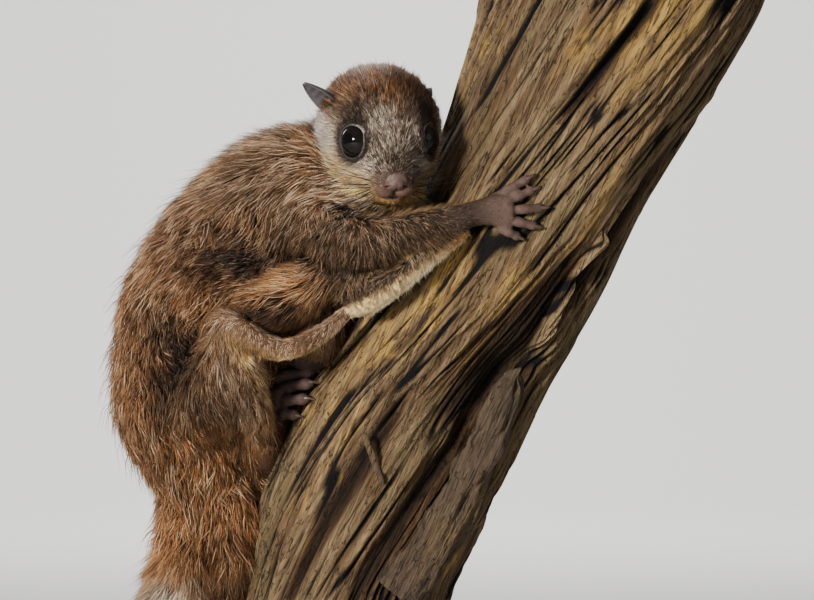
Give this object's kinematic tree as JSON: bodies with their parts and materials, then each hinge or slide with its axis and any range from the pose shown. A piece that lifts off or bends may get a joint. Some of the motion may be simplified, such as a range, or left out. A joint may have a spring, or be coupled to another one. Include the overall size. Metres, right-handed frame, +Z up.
{
  "type": "flying squirrel",
  "caption": "Young flying squirrel with a long bushy tail, clinging head up to a cut length of weathered trunk on a display stand, its gliding membranes drawn in along its sides.",
  "frame": {"origin": "the middle of the underside of the stand's base", "axes": "+Z up; +X is the way the trunk leans, from the animal's tail towards its hands; -Y is the side that its face looks out from"},
  "size_m": [0.3377, 0.21, 0.58],
  "materials": {
    "coat": "long, tousled rufous-brown fur with pale tips over dark underfur",
    "coat_face": "short grizzled grey-brown fur, buff on the cheeks, dark round the eyes",
    "coat_tail": "bushy rufous fur with light tips",
    "membrane": "short grey-buff fur on the rolled edge of the gliding membrane",
    "membrane_hem": "cream-white short fur on the underside of the front of the membrane",
    "skin": "bare or thinly haired skin, satin",
    "eye": "wet, glossy, almost black",
    "perch_wood": "dry weathered wood, cracked along the grain, with ochre lichen",
    "stand_wood": "dark stained, satin",
    "stand_steel": "brushed"
  },
  "bodies": {
    "root": {"head": "coat_face", "nose": "skin", "lower_jaw": "coat_face", "ear_right": "skin", "ear_left": "skin", "eye_right": "eye", "eye_left": "eye", "neck": "coat", "torso": "coat", "tail_base": "coat_tail", "tail_middle": "coat_tail", "tail_tip": "coat_tail", "upper_arm_right": "coat", "forearm_right": "coat", "hand_right": "skin", "thigh_right": "coat", "shank_right": "coat", "foot_right": "skin", "membrane_flank_right": "coat", "membrane_rear_hem_right": "membrane", "membrane_front_hem_right": "membrane_hem", "upper_arm_left": "coat", "forearm_left": "coat", "hand_left": "skin", "thigh_left": "coat", "shank_left": "coat", "foot_left": "skin", "membrane_flank_left": "coat", "membrane_rear_hem_left": "membrane", "membrane_front_hem_left": "membrane_hem", "perch_trunk": "perch_wood", "stand_base": "stand_wood", "stand_rod_left": "stand_steel", "stand_rod_right": "stand_steel"}
  },
  "joints": []
}
